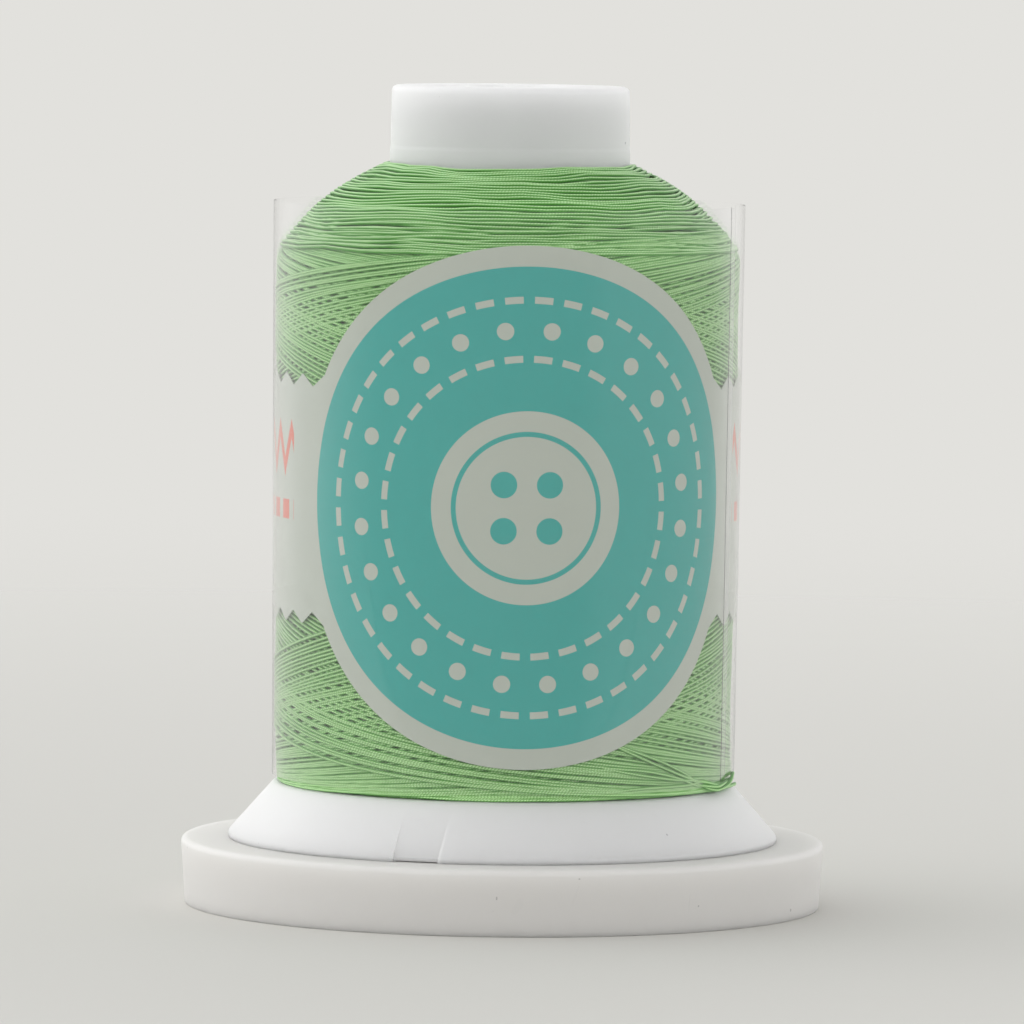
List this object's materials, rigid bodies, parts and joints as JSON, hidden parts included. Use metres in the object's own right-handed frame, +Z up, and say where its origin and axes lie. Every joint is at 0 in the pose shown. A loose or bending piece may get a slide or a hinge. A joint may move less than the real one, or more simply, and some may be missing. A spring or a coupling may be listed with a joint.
{
  "type": "spool of thread",
  "caption": "Snap spool wound with sewing thread in a clear film sleeve with a paper label, on a wide base disc that lifts open to hold the thread end.",
  "frame": {"origin": "on the spool's axis, on the surface that the base stands on", "axes": "+Z up along the spool's axis from the base to the neck; -Y is the front, which the round face of the label looks towards"},
  "size_m": [0.057, 0.057, 0.0725],
  "materials": {
    "base_plastic": "white moulded polypropylene, satin",
    "body_plastic": "white moulded polypropylene, slightly translucent, satin",
    "thread": "green spun cotton thread, wound",
    "film": "clear glossy plastic film",
    "label_paper": "printed paper, teal and white"
  },
  "bodies": {
    "base": {"snap_base": "base_plastic"},
    "spool": {"spool_body": "body_plastic", "thread_pack": "thread", "thread_turns": "thread"},
    "sleeve": {"clear_sleeve": "film", "label": "label_paper"}
  },
  "joints": [
    {"name": "base_snap", "type": "slide", "parent": "base", "child": "spool", "axis": [0, 0, 1], "range_m": [0, 0.0025]},
    {"name": "sleeve_lift", "type": "slide", "parent": "spool", "child": "sleeve", "axis": [0, 0, 1], "range_m": [0, 0.062]}
  ]
}
